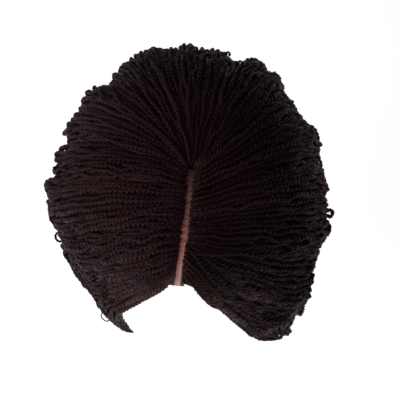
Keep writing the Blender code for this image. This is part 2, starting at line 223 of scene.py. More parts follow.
@dataclass(frozen=True)
class WigForm:
    """The soft outer and inner forms that the twists follow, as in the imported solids."""

    cap_half_width: float = 75 * MM
    cap_half_depth: float = 97 * MM
    cap_half_height: float = 95 * MM
    cap_wall: float = 1.5 * MM
    clearance: float = 1.8 * MM
    front_rise: float = 4.5 * MM
    crown_rise: float = 7.5 * MM
    edge_stations: float = 2.0
    tip_turn: float = math.radians(58)
    tip_thickness: float = 19 * MM
    tip_rise: float = 5 * MM
    axis_y: float = 30 * MM
    axis_share: float = 0.6
    edge_hang: float = 0.8
    side_hang: float = 0.45

    def rows(self, t: np.ndarray) -> np.ndarray:
        """Reads STATIONS on a smooth curve.

        Args:
            t: Stations.

        Returns:
            One row of the table's columns for each station, lengths in metres.
        """
        table = np.array(STATIONS, float)
        table = np.vstack([2 * table[0] - table[1], table, 2 * table[-1] - table[-2]])
        t = np.clip(t, 0.0, LAST_STATION - 1e-9)
        i = t.astype(int)
        f = (t - i)[:, None]
        a, b, c, d = table[i], table[i + 1], table[i + 2], table[i + 3]
        square, cube = 2 * a - 5 * b + 4 * c - d, 3 * b - a - 3 * c + d
        row = 0.5 * (2 * b + (c - a) * f + square * f**2 + cube * f**3)
        return row * np.array([MM] * 8 + [1.0] * 2)

    def cap_height(self, x: np.ndarray, y: np.ndarray, off: np.ndarray) -> np.ndarray:
        """Finds heights of the cap's form, grown outwards by off, over points of the plan."""
        left = 1 - (x / (self.cap_half_width + off)) ** 2 - (y / (self.cap_half_depth + off)) ** 2
        return -self.cap_half_height + (self.cap_half_height + off) * np.sqrt(np.maximum(left, 0.0))

    def blended(self, t: np.ndarray, at_edge: float, inside: float) -> np.ndarray:
        """Changes a value from the hairline to edge_stations further in, on either side."""
        near = np.minimum(np.minimum(t, LAST_STATION - t) / self.edge_stations, 1.0)
        return at_edge + (inside - at_edge) * near

    def rise(self, t: np.ndarray) -> np.ndarray:
        """Thickness of the braids over the cap at the part, at each station."""
        return self.blended(t, self.front_rise, self.crown_rise)

    def kept_off_cap(self, points: np.ndarray, off: np.ndarray) -> np.ndarray:
        """Moves points out of the cap's form.

        Args:
            points: Points in space.
            off: How far from the cap's inside they have to be.

        Returns:
            The points, those inside the grown form moved out to it.
        """
        axes = np.array([self.cap_half_width, self.cap_half_depth, self.cap_half_height])
        axes = axes[None, :] + np.broadcast_to(off, len(points))[:, None]
        from_middle = points + np.array([0.0, 0.0, self.cap_half_height])
        size = np.linalg.norm(from_middle / axes, axis=1)
        inside = (size < 1) & (from_middle[:, 2] >= 0)
        moved = points + from_middle * (1 / np.maximum(size, 1e-6) - 1)[:, None]
        return np.where(inside[:, None], moved, points)

    def outer(self, t: np.ndarray, u: np.ndarray) -> np.ndarray:
        """Finds points of the outer form.

        Args:
            t: Stations.
            u: How far along the braid, 0 to 2.

        Returns:
            Points in space.
        """
        row = self.rows(t)
        root, wide, tip = row[:, 0:2], row[:, 2:5], row[:, 5:8]
        spread, drop = row[:, 8], row[:, 9]
        off = self.cap_wall + self.clearance + self.rise(t)
        angle = np.clip(u, 0, 1) * math.pi / 2
        out = np.sin(angle) ** spread
        down = 1 - np.maximum(np.cos(angle), 0.0) ** drop
        root_z = self.cap_height(root[:, 0], root[:, 1], off)
        plan = root + (wide[:, :2] - root) * out[:, None]
        dome = np.column_stack([plan, root_z + (wide[:, 2] - root_z) * down])
        dome = self.kept_off_cap(dome, off)
        turn = np.maximum(u - 1, 0.0) * self.tip_turn
        back = (1 - np.cos(turn)) / (1 - math.cos(self.tip_turn))
        plan = wide[:, :2] + (tip[:, :2] - wide[:, :2]) * back[:, None]
        fall = (tip[:, 2] - wide[:, 2]) * np.sin(turn) / math.sin(self.tip_turn)
        hang = np.column_stack([plan, wide[:, 2] + fall])
        return np.where((u <= 1)[:, None], dome, hang)

    def inner(self, t: np.ndarray, u: np.ndarray) -> np.ndarray:
        """Finds points of the inner form.

        Args:
            t: Stations.
            u: How far along the braid, 0 to 2; up to 1 it lies on the cap.

        Returns:
            Points in space.
        """
        row = self.rows(t)
        root, wide, tip = row[:, 0:2], row[:, 2:5], row[:, 5:8]
        off = self.cap_wall + self.clearance
        a, b = self.cap_half_width + off, self.cap_half_depth + off
        run = wide[:, :2] - root
        square = (run[:, 0] / a) ** 2 + (run[:, 1] / b) ** 2
        half = root[:, 0] * run[:, 0] / a**2 + root[:, 1] * run[:, 1] / b**2
        rest = (root[:, 0] / a) ** 2 + (root[:, 1] / b) ** 2 - 1
        leave = (-half + np.sqrt(half**2 - square * rest)) / square
        out = leave * np.sin(np.clip(u, 0, 1) * math.pi / 2)
        plan = root + run * out[:, None]
        on_cap = np.column_stack([plan, self.cap_height(plan[:, 0], plan[:, 1], off)])
        plan = root + run * leave[:, None]
        start = np.column_stack([plan, np.full(len(t), -self.cap_half_height)])
        inwards = np.column_stack([(self.axis_share - 1) * tip[:, 0], self.axis_y - tip[:, 1]])
        inwards = unit(inwards) * self.tip_thickness
        end = np.column_stack([tip[:, :2] + inwards, tip[:, 2] + self.tip_rise])
        bulge = start + (wide - start) * self.blended(t, self.edge_hang, self.side_hang)[:, None]
        f = np.clip(u - 1, 0, 1)[:, None]
        hanging = start * (1 - f) ** 2 + bulge * 2 * (1 - f) * f + end * f**2
        return np.where((u <= 1)[:, None], on_cap, hanging)

    def between(self, t: np.ndarray, u: np.ndarray, depth: np.ndarray) -> np.ndarray:
        """Finds points in the wall of braids, where depth is 0 on its outer form and 1 on its inner form."""
        share = np.asarray(depth)[..., None]
        return self.outer(t, u) * (1 - share) + self.inner(t, u) * share

    def facing(self, t: np.ndarray, u: np.ndarray) -> tuple[np.ndarray, np.ndarray]:
        """Finds how the outer form lies.

        Args:
            t: Stations.
            u: How far along the braid, 0 to 2.

        Returns:
            Directions out of the form, and directions towards the next station.
        """
        step = 2e-3
        low, high = np.maximum(u - step, 0.0), np.minimum(u + step, 2.0)
        first, last = np.maximum(t - step, 0.0), np.minimum(t + step, LAST_STATION)
        along = unit(self.outer(t, high) - self.outer(t, low))
        across = unit(self.outer(last, u) - self.outer(first, u))
        return unit(np.cross(across, along)), across


FORM = WigForm()


class Row(Enum):
    """The rows of twists, from the outside of the wall to its inside."""

    STRAY = "stray"
    OUTER = "outer"
    SECOND = "second"
    THIRD = "third"
    FOURTH = "fourth"
    INNER = "inner"


@dataclass(frozen=True)
class Section:
    """Cross-section of a two-strand twist: two round strands side by side, cut down to few corners.

    Attributes:
        angles: Where the corners lie, in degrees.
        rings_per_turn: Sections along one full turn of the two strands.
        turn: Length of a full turn.
    """

    angles: tuple[float, ...]
    rings_per_turn: int
    turn: float

    def radii(self, strand: float) -> np.ndarray:
        """Finds how far the corners lie from the middle.

        Args:
            strand: Radius of a strand; 0.5 leaves the deepest groove, and 1.0 none.

        Returns:
            The distances, both as shares of the twist's radius.
        """
        angle = np.radians(self.angles)
        apart = 1 - strand
        off = apart * np.abs(np.cos(angle))
        return off + np.sqrt(np.maximum(strand**2 - (apart * np.sin(angle)) ** 2, 0.0))


FINE_SECTION = Section((0, 45, 90, 135, 180, 225, 270, 315), 7, 10.0 * MM)
PLAIN_SECTION = Section((0, 58, 122, 180, 238, 302), 5, 11 * MM)
HIDDEN_SECTION = Section((0, 58, 122, 180, 238, 302), 5, 14 * MM)
THIN_SECTION = Section((0, 90, 180, 270), 6, 7 * MM)


@dataclass(frozen=True)
class RowPlan:
    """How one row of twists is laid.

    Attributes:
        row: Which row it is.
        depth: 0 on the outer form, 1 on the inner form.
        sink: How far the twists' middle lies below that.
        pitch: Distance between neighbours at the widest ring.
        shift: How far from the hairline the first twist lies, as a share of the pitch.
        first: How far down the first twists may start, 0 at the part.
        radius: Half a twist's thickness.
        section: Cross-section.
    """

    row: Row
    depth: float
    sink: float
    pitch: float
    shift: float
    first: float
    radius: float
    section: Section


ROWS = (
    RowPlan(Row.STRAY, 0.0, 0.6 * MM, 66 * MM, 0.6, 0.0, 2.3 * MM, FINE_SECTION),
    RowPlan(Row.OUTER, 0.0, 2.0 * MM, 5.05 * MM, 0.1, 0.0, 2.4 * MM, FINE_SECTION),
    RowPlan(Row.SECOND, 0.0, 6.3 * MM, 5.4 * MM, 0.5, 0.0, 3.5 * MM, PLAIN_SECTION),
    RowPlan(Row.THIRD, 0.40, 0.0 * MM, 6.8 * MM, 1.0, 0.5, 3.7 * MM, HIDDEN_SECTION),
    RowPlan(Row.FOURTH, 0.70, 0.0 * MM, 7.4 * MM, 1.5, 0.7, 3.9 * MM, HIDDEN_SECTION),
    RowPlan(Row.INNER, 1.0, -2.2 * MM, 7.2 * MM, 2.0, 0.84, 3.0 * MM, PLAIN_SECTION),
)


@dataclass(frozen=True)
class Loop:
    """A twist's end that stands off the outline in a loop. Its lengths are in mm.

    Attributes:
        station: Where its middle lies round the head.
        u: How far down its middle lies.
        reach: How far its middle lies off the form.
        half_across: Half its length along the outline.
        half_out: Half its width outwards.
        radius: Half the twist's thickness.
        sweep: How far it runs to either side of its outermost point, in degrees.
    """

    station: float
    u: float
    reach: float
    half_across: float
    half_out: float
    radius: float
    sweep: float = 150.0

    def centre_line(self) -> tuple[np.ndarray, np.ndarray]:
        """Lays the loop's middle.

        Returns:
            Its points, and a direction out of its plane at each.
        """
        t, u = np.array([self.station]), np.array([self.u])
        out, across = (found[0] for found in FORM.facing(t, u))
        out = unit(out * np.array([1.0, 1.0, 0.3]))
        middle = FORM.outer(t, u)[0] + out * (self.reach * MM)
        half_out, half_across = self.half_out * MM, self.half_across * MM
        angle = np.radians(np.linspace(-self.sweep, self.sweep, 40))
        down = unit(np.cross(out, across))
        aslant = 0.9 * eased((self.half_across - 5) / 4)
        across = unit(across + aslant * down)
        down = unit(np.cross(out, across))
        outwards = half_out * np.cos(angle)[:, None] * out
        sideways = half_across * np.sin(angle)[:, None] * across
        points = middle + outwards + sideways
        points = points + down * (0.12 * half_across * np.sin(2 * angle))[:, None]
        return points, np.broadcast_to(down, points.shape)


LOOPS = (
    # station, u, reach, half_across, half_out, radius, sweep
    # left of the outline
    Loop(2.78, 1.24, 1.0, 4.6, 3.1, 1.45),
    Loop(2.55, 1.98, 0.5, 8.0, 3.6, 0.9, 110),
    Loop(2.2, 1.9, 0.5, 7.0, 3.0, 0.8, 110),
    Loop(1.05, 0.86, 1.0, 5.0, 2.6, 0.8, 120),
    Loop(1.07, 1.93, 0.5, 5.0, 2.4, 0.8, 120),
    # right of the outline
    Loop(10.43, 0.93, 0.4, 3.6, 2.7, 2.4),
    Loop(10.73, 0.94, -0.4, 4.2, 3.0, 2.4),
    Loop(9.15, 0.84, -7.6, 14, 7.0, 2.2, 105),
    Loop(9.2, 0.86, -10.0, 12, 6.5, 2.1, 105),
    Loop(9.6, 0.88, -9.5, 9, 4.5, 1.9, 105),
    Loop(7.95, 0.79, -5.0, 11, 6.5, 2.2, 105),
    Loop(7.98, 0.82, -7.5, 9, 6.0, 2.1, 105),
    # small ends at the top
    Loop(7.28, 0.92, -0.6, 1.6, 2.2, 1.4, 120),
    Loop(7.5, 0.66, -0.6, 1.7, 2.2, 1.4, 120),
    Loop(7.7, 0.6, -0.6, 1.7, 2.2, 1.4, 120),
    Loop(8.12, 0.81, -0.6, 1.8, 2.4, 1.4, 120),
)


@dataclass(frozen=True)
class Looseness:
    """How far the twists stray from their plain paths."""

    clump_lift: float = 1.0 * MM
    own_lift: float = 1.2 * MM
    lift_wave: float = 1.3 * MM
    lift_wave_length: float = 42 * MM
    rises_from: float = 5.2 * MM
    hidden_rises_from: float = 3.0 * MM
    sway: float = 1.2 * MM
    wide_sway: float = 2.6 * MM
    wide_sway_chance: float = 0.3
    hidden_sway: float = 0.4 * MM
    sway_wave_length: float = 52 * MM
    clump_length: float = 3.5 * MM
    own_length: float = 5 * MM


LOOSE = Looseness()


@dataclass(frozen=True)
class FrontLocks:
    """How the twists next to the hairline are drawn together.

    Attributes:
        reach: Stations from the left end that the left lock takes in.
        gather: How much of the way to one line they are drawn at their tips.
        right_sink: How far the right lock lies in, level with the widest ring.
    """

    reach: float = 1.3
    gather: float = 0.8
    right_sink: float = 4.0 * MM


LOCK = FrontLocks()


@dataclass
class Twist:
    """One two-strand twist.

    Attributes:
        t: Its station at the widest ring.
        start: How far along the braid it comes to the surface.
        plan: The row that it belongs to.
        rng: Its own source of random numbers.
        clump: Shared lift and length of the twists round it, -1 to 1.
        swell: How far the outline stands out here.
        ring: Where it lies along the widest ring, in metres.
        slant: How far its root and its middle stray from the combing, in stations.
        emerge: How far along the braid it takes to come up to the surface.
        samples: Points along its middle.
    """

    t: float
    start: float
    plan: RowPlan
    rng: np.random.Generator
    clump: tuple[float, float]
    swell: float
    ring: float
    slant: tuple[float, float] = (0.0, 0.0)
    emerge: float = 0.12
    samples: int = 110

    def waves(self, run: np.ndarray, size: float, longest: float) -> np.ndarray:
        """Draws a loose wander along the twist.

        Args:
            run: Lengths along the twist.
            size: Largest swing.
            longest: Length of its longest wave.

        Returns:
            The swing at each length.
        """
        total = np.zeros_like(run)
        for part, share in ((1.0, 0.6), (0.47, 0.3), (0.23, 0.1)):
            phase = self.rng.uniform(0, FULL_TURN)
            stretch = self.rng.uniform(0.8, 1.25)
            total += share * np.sin(FULL_TURN * run / (longest * part * stretch) + phase)
        return total * size

    def near_left(self, reach: float) -> float:
        """Finds how near it lies to the hairline's left end: 1 there and 0 from reach stations on."""
        return 1 - eased(self.t / reach)

    def near_right(self, reach: float) -> float:
        """Finds how near it lies to the hairline's right end: 1 there and 0 from reach stations on."""
        return eased((self.t - LAST_STATION) / reach + 1)

    def from_edge(self) -> float:
        """Finds how free it is of the hairline: 0 on it and 1 further in."""
        return eased(min(self.t, LAST_STATION - self.t) / 0.8)

    def depth_in_wall(self, u: np.ndarray, begin: float) -> np.ndarray:
        """Finds how deep it lies in the wall of braids.

        Args:
            u: How far along the braid, 0 to 2.
            begin: Where along it the twist starts.

        Returns:
            0 on the outer form to 1 on the inner form, at each place.
        """
        if self.plan.depth > 0:
            share = 1 - (1 - self.plan.depth) * smooth_step((u - begin) / 0.45)
        else:
            share = np.zeros_like(u)
        return share * (1 - 0.9 * self.near_left(LOCK.reach) * smooth_step((u - 1.15) / 0.8))

    def lift(self, u: np.ndarray, run: np.ndarray, begin: float, share: np.ndarray) -> np.ndarray:
        """Finds how far it lies off its plain path, outwards.

        Args:
            u: How far along the braid, 0 to 2.
            run: Lengths along the twist.
            begin: Where along the braid the twist starts.
            share: How deep in the wall it lies.

        Returns:
            The lift at each place.
        """
        plan = self.plan
        loose = smooth_step((u - 0.12) / 0.6) * (0.3 + 0.7 * self.from_edge())
        lift = -plan.sink + self.clump[0] * LOOSE.clump_lift * loose
        lift = lift + self.waves(run, LOOSE.lift_wave, LOOSE.lift_wave_length) * loose
        lift = lift + self.swell * smooth_step((u - 0.4) / 0.4) * (1 - share)
        lift = lift + self.rng.uniform(-1, 1) * LOOSE.own_lift * loose
        if self.start > 0:
            below = LOOSE.rises_from if plan.depth == 0 else LOOSE.hidden_rises_from
            lift = lift - below * (1 - smooth_step((u - begin) / (self.emerge + 0.05)))
        flat = smooth_step((u - 0.95) / 0.2) * (1 - smooth_step((u - 1.45) / 0.35))
        lift = lift - LOCK.right_sink * self.near_right(0.8) * flat
        if self.start <= 0:
            down = float(FORM.rise(np.array([self.t]))[0]) - 0.2 * MM
            low = smooth_step(run / (9 * MM))
            lift = -down * (1 - low) + lift * low
        return lift

    def sway(self, u: np.ndarray, run: np.ndarray) -> np.ndarray:
        """Finds how far it lies off its plain path, towards the next station.

        Args:
            u: How far along the braid, 0 to 2.
            run: Lengths along the twist.

        Returns:
            The sway at each place.
        """
        swing = LOOSE.wide_sway if self.rng.uniform() < LOOSE.wide_sway_chance else LOOSE.sway
        if self.plan.depth > 0:
            swing = LOOSE.hidden_sway
        sway = self.waves(run, swing, LOOSE.sway_wave_length) * smooth_step(run / (30 * MM)) + self.pinch(u)
        sway = sway * self.from_edge()
        brow = 2.8 * smooth_step(u / 0.15) + 2.4 * smooth_step((u - 0.45) / 0.2)
        brow = brow * (1 - smooth_step((u - 1.05) / 0.5))
        sway = sway - MM * brow * self.near_left(0.7)
        brow = smooth_step(u / 0.12) * (1 - smooth_step((u - 0.22) / 0.24))
        return sway - 4.0 * MM * brow * self.near_right(0.9)

    def curl(self, points: np.ndarray, normal: np.ndarray, across: np.ndarray) -> np.ndarray:
        """Curls the tip inwards.

        Args:
            points: The twist's middle.
            normal: The outward direction at its last point.
            across: The direction towards the next station there.

        Returns:
            The points of the curl.
        """
        rng, lock = self.rng, self.near_left(LOCK.reach)
        way = unit(points[-1] - points[-4])
        calm = eased((self.t - 0.4) / 2.0)
        inwards = unit(-normal + across * rng.uniform(-0.7, 0.7) * calm + way * 0.1)
        inwards = unit(inwards - way * np.dot(inwards, way))
        bend = rng.uniform(5, 12) * (1 - 0.6 * lock) * MM
        sweep = np.radians(rng.uniform(20, 40 + 60 * calm)) * (1 - 0.8 * lock) * np.linspace(0.08, 1, 12)
        return points[-1] + bend * (np.sin(sweep)[:, None] * way + (1 - np.cos(sweep))[:, None] * inwards)

    def centre_line(self) -> tuple[np.ndarray, np.ndarray]:
        """Lays the twist's middle.

        Returns:
            Points from root to tip, and the outward direction at each.
        """
        begin = 0.0 if self.start <= 0.0 else max(self.start - self.emerge, 0.0)
        u = begin + (2.0 - begin) * np.linspace(0, 1, self.samples) ** 1.15
        before = np.clip(1 - u, 0.0, 1.0)
        t = combed(self.t, u) + self.slant[0] * before + self.slant[1] * 4 * before * (1 - before)
        t = np.clip(t, 0.0, LAST_STATION)
        share = self.depth_in_wall(u, begin)
        base = FORM.between(t, u, share)
        normal, across = FORM.facing(t, u)
        run = lengths_along(base)
        lift = self.lift(u, run, begin, share)
        points = base + normal * lift[:, None] + across * self.sway(u, run)[:, None]
        if self.start <= 0:
            points += self.tuck(base[0]) * (1 - smooth_step(run / (12 * MM)))[:, None]
            points[:, 0] += part_bend(float(base[0, 1])) * (1 - smooth_step(run / (45 * MM)))
        lock = self.near_left(LOCK.reach)
        longer = self.clump[1] * LOOSE.clump_length + self.rng.uniform(-1, 1) * LOOSE.own_length
        points[:, 2] -= longer * (1 - 0.7 * lock) * smooth_step(u - 1)
        gather = LOCK.gather * lock * smooth_step((u - 1.25) / 0.75)[:, None]
        points = points * (1 - gather) + self.lock_line(u) * gather
        points = FORM.kept_off_cap(points, FORM.cap_wall + self.plan.radius * 0.8)
        curl = self.curl(points, normal[-1], across[-1])
        normal = np.vstack([normal, np.repeat(normal[-1:], len(curl), axis=0)])
        return np.vstack([points, curl]), normal

    def lock_line(self, u: np.ndarray) -> np.ndarray:
        """Lays the line that the twists at the left of the hairline draw together to.

        Args:
            u: How far along the braid, 0 to 2.

        Returns:
            Points in space.
        """
        inwards = min(self.t, LOCK.reach)
        line = FORM.outer(np.full_like(u, inwards * 0.45), u)
        line[:, 1] -= 2.5 * MM * smooth_step(u - 1)
        line[:, 2] -= (LOCK.reach - inwards) * 2.0 * MM * smooth_step(u - 1)
        return line

    def painted_hairline_highlight(self) -> float:
        """Finds how strong the painted warm highlight along the hairline is on this twist."""
        return (0.75 * self.near_left(0.7) + 0.3 * self.near_right(0.6)) * self.rng.uniform(0.25, 1.0)

    def pinch(self, u: np.ndarray) -> np.ndarray:
        """Draws neighbours together into loose bunches.

        Args:
            u: How far along the braid, 0 to 2.

        Returns:
            Shifts towards the next station.
        """
        phase = self.plan.depth * 9 + self.plan.sink * 700
        wide = 1.3 * MM * np.sin(FULL_TURN * self.ring / (33 * MM) + phase + 2.3 * u)
        narrow = 0.8 * MM * np.sin(FULL_TURN * self.ring / (19 * MM) + 2 * phase - 3.1 * u)
        share = 1.0 if self.plan.depth == 0 and self.plan.row is not Row.SECOND else 0.35
        return (wide + narrow) * smooth_step((u - 0.05) / 0.5) * share

    @staticmethod
    def tuck(root: np.ndarray) -> np.ndarray:
        """Finds how far a twist's root reaches over the lace.

        Args:
            root: Where the twist's plain path starts.

        Returns:
            The shift of its first point.
        """
        back = eased((root[1] + 60 * MM) / (60 * MM))
        way = np.array([-root[0], min(-6 * MM - root[1], 0.0), 0.0])
        return way / max(float(np.linalg.norm(way)), 1e-9) * (1.2 + 1.0 * back) * MM

    def mesh(self) -> Wound:
        """Winds the two strands round the middle.

        Returns:
            What wound gives.
        """
        points, normal = self.centre_line()
        run = lengths_along(points)
        from_part = run + self.start * 150 * MM
        near_part = smooth_step(from_part / (75 * MM))
        from_root = smooth_step((run + 1.2 * MM) / (6 * MM))
        to_tip = smooth_step((run[-1] - run + 2 * MM) / (22 * MM))
        size = self.plan.radius * (0.35 + 0.65 * from_root) * (0.2 + 0.8 * to_tip)
        size = size * self.rng.uniform(0.88, 1.1)
        size = size * (0.8 + 0.2 * near_part) * (1 + 0.06 * np.sin(run / (13 * MM) + self.ring * 900))
        turn = self.plan.section.turn * self.rng.uniform(0.85, 1.2) * (0.82 + 0.18 * near_part)
        turn = turn * (1 + 0.15 * np.sin(run / (21 * MM) + self.ring * 700))
        relief = 0.3 + 0.7 * (1 - smooth_step((from_part - 55 * MM) / (75 * MM)))
        relief = relief * self.rng.uniform(0.45, 1.1)
        inside = eased((min(self.t, LAST_STATION - self.t) - 0.1) / 0.5)
        relief = np.clip(relief * (0.1 + 0.9 * inside), 0.0, 1.0)
        return wound(points, normal, size, turn, relief, self.plan.section, self.rng)


def wound(
    points: np.ndarray,
    normal: np.ndarray,
    size: np.ndarray,
    turn: np.ndarray,
    relief: np.ndarray,
    section: Section,
    rng: np.random.Generator,
) -> Wound:
    """Winds two strands round a line.

    Args:
        points: The line.
        normal: A direction across it at each of its points.
        size: Half the twist's thickness at each.
        turn: Length of a full turn at each.
        relief: How deep the groove between the strands is at each, 0 to 1.
        section: Cross-section.
        rng: Source of random numbers.

    Returns:
        Points, four-cornered faces, the two end faces, and a pair of surface coordinates for each point.
    """
    run = lengths_along(points)
    turns = np.concatenate([[0.0], np.cumsum(np.diff(run) / ((turn[1:] + turn[:-1]) / 2))])
    count = max(int(turns[-1] * section.rings_per_turn), 5)
    wind = np.linspace(0, turns[-1], count)
    at = np.interp(wind, turns, run)
    line = np.column_stack([np.interp(at, run, points[:, k]) for k in range(3)])
    out = np.column_stack([np.interp(at, run, normal[:, k]) for k in range(3)])
    way = unit(np.gradient(line, axis=0))
    side = unit(np.cross(way, out))
    out = np.cross(side, way)
    phase = rng.uniform(0, FULL_TURN)
    turned = np.radians(section.angles)[None, :] + (phase + FULL_TURN * wind)[:, None]
    uneven = 1 + np.clip(rng.normal(0, 0.09, (count, len(section.angles))), -0.2, 0.2)
    deep = np.interp(at, run, relief)[:, None]
    shape = section.radii(0.54)[None, :] * deep + section.radii(0.72)[None, :] * (1 - deep)
    reach = shape * np.interp(at, run, size)[:, None] * uneven
    ring = line[:, None, :] + reach[..., None] * (
        np.cos(turned)[..., None] * side[:, None, :] + np.sin(turned)[..., None] * out[:, None, :]
    )
    corners = len(section.angles)
    here = np.arange(corners)
    after = (here + 1) % corners
    starts = np.arange(count - 1)[:, None] * corners
    nexts = starts + corners
    quads = np.stack([starts + here, nexts + here, nexts + after, starts + after], axis=-1)
    ends = np.stack([here, (count - 1) * corners + here[::-1]])
    round_it = np.broadcast_to(here / corners, (count, corners))
    uv = np.stack([round_it, np.broadcast_to(wind[:, None], (count, corners))], axis=-1)
    return ring.reshape(-1, 3), quads.reshape(-1, 4), ends, uv.reshape(-1, 2)


def painted_light_and_wave(points: np.ndarray) -> np.ndarray:
    """Finds the painted light and shade over the wig, and a gentle wave of the fibre's own lightness.

    Args:
        points: Points in space.

    Returns:
        The change of lightness at each, painted light and shade included.
    """
    total = np.zeros(len(points))
    for x, y, z, reach, depth in PAINTED_LIGHT_AND_SHADE:
        away = np.linalg.norm(points - np.array([x, y, z]) * MM, axis=1) / (reach * MM)
        total += depth * np.exp(-(away**2))
    x, y, z = points.T / MM
    # the patches above are painted light and shade; these two sines are the fibre's own random lightness
    return total + 0.07 * np.sin(x / 17 + y / 31) + 0.06 * np.sin(y / 13 - z / 19 + 2)


@dataclass
class Bundle:
    """Many twists gathered into one mesh.

    Attributes:
        total: Points so far.
    """

    total: int = 0

    def __post_init__(self) -> None:
        """Starts empty."""
        self.points: list[np.ndarray] = []
        self.faces: dict[int, list[np.ndarray]] = {}
        self.uvs: list[np.ndarray] = []
        self.tones: list[np.ndarray] = []
        self.painted_hairline_highlights: list[np.ndarray] = []

    def add(self, made: Wound, tone_and_painted_light: float, painted_hairline_highlight: float = 0.0) -> None:
        """Adds a twist.

        Args:
            made: What wound gives.
            tone_and_painted_light: How light it is, with the painted light of the twists underneath; painted
                light and shade over the wig is added to it here.
            painted_hairline_highlight: How strong its painted warm highlight along the hairline is.
        """
        own, quads, ends, uv = made
        for block in (quads, ends):
            self.faces.setdefault(block.shape[1], []).append(block + self.total)
        self.points.append(own)
        self.uvs.append(uv)
        # each point's value gets the painted light and shade of its place added
        self.tones.append(tone_and_painted_light + painted_light_and_wave(own))
        # painted warm highlight along the hairline, faded out towards the low tips
        self.painted_hairline_highlights.append(painted_hairline_highlight * smooth_step((own[:, 2] + 150 * MM) / (40 * MM)))
        self.total += len(own)

    def piece(self, name: str) -> bpy.types.Object:
        """Makes the mesh.

        Args:
            name: The object's name.

        Returns:
            The object.
        """
        blocks = [np.concatenate(found) for found in self.faces.values()]
        values = {"tone_and_painted_light": np.concatenate(self.tones), "painted_hairline_highlight": np.concatenate(self.painted_hairline_highlights)}
        return mesh_from_arrays(name, np.concatenate(self.points), blocks, np.concatenate(self.uvs), values)


def mesh_from_arrays(
    name: str, points: np.ndarray, faces: list[np.ndarray], uv: np.ndarray, values: dict[str, np.ndarray]
) -> bpy.types.Object:
    """Makes one object of arrays.

    Args:
        name: The object's name.
        points: All points.
        faces: Arrays of faces, each with its own number of corners.
        uv: Surface coordinates for each point.
        values: Numbers for each point that the finish reads, by their names.

    Returns:
        The linked object, shaded smooth.
    """
    sizes = np.concatenate([np.full(len(block), block.shape[1]) for block in faces])
    corners = np.concatenate([block.reshape(-1) for block in faces]).astype(np.int32)
    mesh = bpy.data.meshes.new(name)
    mesh.vertices.add(len(points))
    mesh.vertices.foreach_set("co", points.astype(np.float32).reshape(-1))
    mesh.loops.add(len(corners))
    mesh.loops.foreach_set("vertex_index", corners)
    mesh.polygons.add(len(sizes))
    starts = np.concatenate([[0], np.cumsum(sizes)[:-1]]).astype(np.int32)
    mesh.polygons.foreach_set("loop_start", starts)
    mesh.polygons.foreach_set("use_smooth", np.ones(len(sizes), bool))
    layer = mesh.uv_layers.new(name="UVMap")
    layer.data.foreach_set("uv", uv[corners].astype(np.float32).reshape(-1))
    for label, numbers in values.items():
        mesh.attributes.new(label, "FLOAT", "POINT").data.foreach_set("value", numbers.astype(np.float32))
    mesh.update(calc_edges=True)
    mesh.validate()
    made = bpy.data.objects.new(name, mesh)
    bpy.context.collection.objects.link(made)
    return made


def dressed(
    piece: bpy.types.Object, material: bpy.types.Material, nodes: tuple[str, ...]
) -> bpy.types.Object:
    """Finishes a piece of the wig.

    Args:
        piece: The piece.
        material: Its finish.
        nodes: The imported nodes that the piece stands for.

    Returns:
        The same piece.
    """
    piece.data.materials.clear()
    piece.data.materials.append(material)
    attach(piece, BODY)
    if nodes:
        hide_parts(*nodes)
    count = sum(len(face.vertices) - 2 for face in piece.data.polygons)
    LOG.info("%s: %d triangles", piece.name, count)
    return piece


def new_material(name: str) -> tuple[bpy.types.Material, bpy.types.Node]:
    """Starts a finish.

    Args:
        name: The material's name.

    Returns:
        The material and its shader.
    """
    material = bpy.data.materials.new(name)
    material.use_nodes = True
    return material, material.node_tree.nodes["Principled BSDF"]


